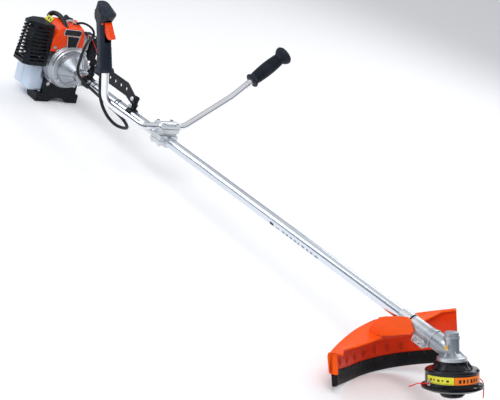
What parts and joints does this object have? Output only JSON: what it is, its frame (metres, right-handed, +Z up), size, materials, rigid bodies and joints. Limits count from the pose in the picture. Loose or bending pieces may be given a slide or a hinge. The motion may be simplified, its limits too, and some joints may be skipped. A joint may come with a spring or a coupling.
{
  "type": "string trimmer",
  "caption": "Petrol string trimmer with a straight shaft, two-sided handlebars, an orange guard over a bump-feed line head and a rear engine.",
  "frame": {"origin": "under the centre of the machine's box, on the ground it lies on", "axes": "+X along the shaft towards the line head, +Y towards the operator's left, +Z up"},
  "size_m": [1.8354, 0.6622, 0.4782],
  "materials": {
    "tube": "polished",
    "cast": "cast, bead blasted",
    "steel": "turned",
    "fastener": "zinc plated",
    "chrome": "plated",
    "orange": "moulded, satin gloss",
    "black": "moulded, fine grain",
    "grip": "moulded",
    "cable": "smooth sleeve",
    "nylon": "extruded",
    "tank": "translucent, moulded",
    "exhaust": "heat stained",
    "clear": "clear, flexible",
    "black_steel": "satin black",
    "friction": "sintered"
  },
  "bodies": {
    "machine": {"main_tube": "tube", "shaft_bushings": "grip", "bearings": "steel", "gear_case": "cast", "gear_case_bolts": "fastener", "guard_bracket": "cast", "guard_bolts": "fastener", "guard": "orange", "guard_skirt": "black", "line_cutter": "steel", "clamp_bottom": "cast", "clamp_block": "cast", "clamp_top": "cast", "clamp_bolts": "fastener", "right_bar": "chrome", "left_bar": "chrome", "left_grip": "grip", "throttle_shells": "black", "throttle_cable": "cable", "hanger_rail": "black_steel", "hanger_clamps": "black_steel", "clutch_housing": "cast", "crankcase": "cast", "cylinder_block": "cast", "spark_plug": "steel", "spark_boot": "grip", "engine_cover": "orange", "muffler": "exhaust", "muffler_cover": "black", "carburettor": "cast", "air_filter": "black", "starter_housing": "black", "fuel_tank": "tank", "engine_stand": "black_steel"},
    "drive_line": {"drive_shaft": "steel", "clutch_drum": "steel", "pinion_gear": "steel"},
    "cutting_head": {"output_shaft": "steel", "crown_gear": "steel", "head_adapter": "black", "head_housing": "black", "head_base": "black", "line_eyelets": "steel", "trimmer_line": "nylon", "feed_spring": "steel"},
    "bump": {"bump_knob": "black"},
    "spool": {"line_spool": "black", "wound_line": "nylon"},
    "rotor": {"crankshaft": "steel", "flywheel": "cast", "clutch_shoes": "friction"},
    "trigger": {"throttle_trigger": "orange"},
    "lockout": {"lockout_lever": "orange"},
    "stop": {"stop_switch": "nylon"},
    "carburettor_arm": {"throttle_arm": "cast"},
    "choke": {"choke_lever": "black"},
    "primer": {"primer_bulb": "clear"},
    "starter_pull": {"starter_handle": "black"},
    "cap": {"tank_cap": "black"},
    "piston_rod": {"piston": "cast"}
  },
  "joints": [
    {"name": "drive_spin", "type": "hinge", "parent": "machine", "child": "drive_line", "pos_m": [0.827, -0.06, 0.18055], "axis": [0.9994, 0, 0.0336], "continuous": true},
    {"name": "head_spin", "type": "hinge", "parent": "machine", "child": "cutting_head", "pos_m": [0.827, -0.06, 0.18055], "axis": [-0.4837, 0, 0.8753], "continuous": true},
    {"name": "bump_press", "type": "slide", "parent": "cutting_head", "child": "bump", "axis": [-0.4837, 0, 0.8753], "range_m": [0, 0.005], "stiffness_N_per_m": 1500, "springref_m": -0.006, "deforming": ["feed_spring"]},
    {"name": "spool_spin", "type": "hinge", "parent": "bump", "child": "spool", "pos_m": [0.85602, -0.06, 0.12803], "axis": [-0.4837, 0, 0.8753], "continuous": true},
    {"name": "crank_spin", "type": "hinge", "parent": "machine", "child": "rotor", "pos_m": [-0.83806, -0.06, 0.12459], "axis": [0.9994, 0, 0.0336], "continuous": true},
    {"name": "trigger_pull", "type": "hinge", "parent": "machine", "child": "trigger", "pos_m": [-0.29956, -0.3061, 0.43124], "axis": [-0.0052, 0.9878, 0.1553], "range_deg": [0, 16], "stiffness_Nm_per_rad": 0.25, "springref_deg": -17.19},
    {"name": "lockout_press", "type": "hinge", "parent": "machine", "child": "lockout", "pos_m": [-0.30566, -0.29642, 0.36952], "axis": [-0.0052, 0.9878, 0.1553], "range_deg": [0, 10], "stiffness_Nm_per_rad": 0.25, "springref_deg": -17.19},
    {"name": "stop_slide", "type": "slide", "parent": "machine", "child": "stop", "axis": [0.9568, -0.0402, 0.288], "range_m": [0, 0.006]},
    {"name": "carburettor_arm_turn", "type": "hinge", "parent": "machine", "child": "carburettor_arm", "pos_m": [-0.84112, 0.005, 0.21554], "axis": [-0.0336, 0, 0.9994], "range_deg": [-40, 0]},
    {"name": "choke_turn", "type": "hinge", "parent": "machine", "child": "choke", "pos_m": [-0.8107, 0.032, 0.20355], "axis": [0.9994, 0, 0.0336], "range_deg": [0, 55]},
    {"name": "primer_press", "type": "slide", "parent": "machine", "child": "primer", "axis": [-0.0336, 0, 0.9994], "range_m": [0, 0.004], "stiffness_N_per_m": 800, "springref_m": -0.003},
    {"name": "starter_pull_out", "type": "slide", "parent": "machine", "child": "starter_pull", "axis": [0, 1, 0], "range_m": [0, 0.6], "stiffness_N_per_m": 15, "springref_m": -0.6},
    {"name": "cap_turn", "type": "hinge", "parent": "machine", "child": "cap", "pos_m": [-0.86539, 0.0063, 0.04463], "axis": [0, 1, 0], "range_deg": [0, 90]},
    {"name": "piston_stroke", "type": "slide", "parent": "machine", "child": "piston_rod", "axis": [-0.0336, 0, 0.9994], "range_m": [-0.032, 0]}
  ],
  "couplings": [
    {"joint": "drive_spin", "follows": "head_spin", "ratio": 1.25},
    {"joint": "carburettor_arm_turn", "follows": "trigger_pull", "ratio": -2.5}
  ]
}
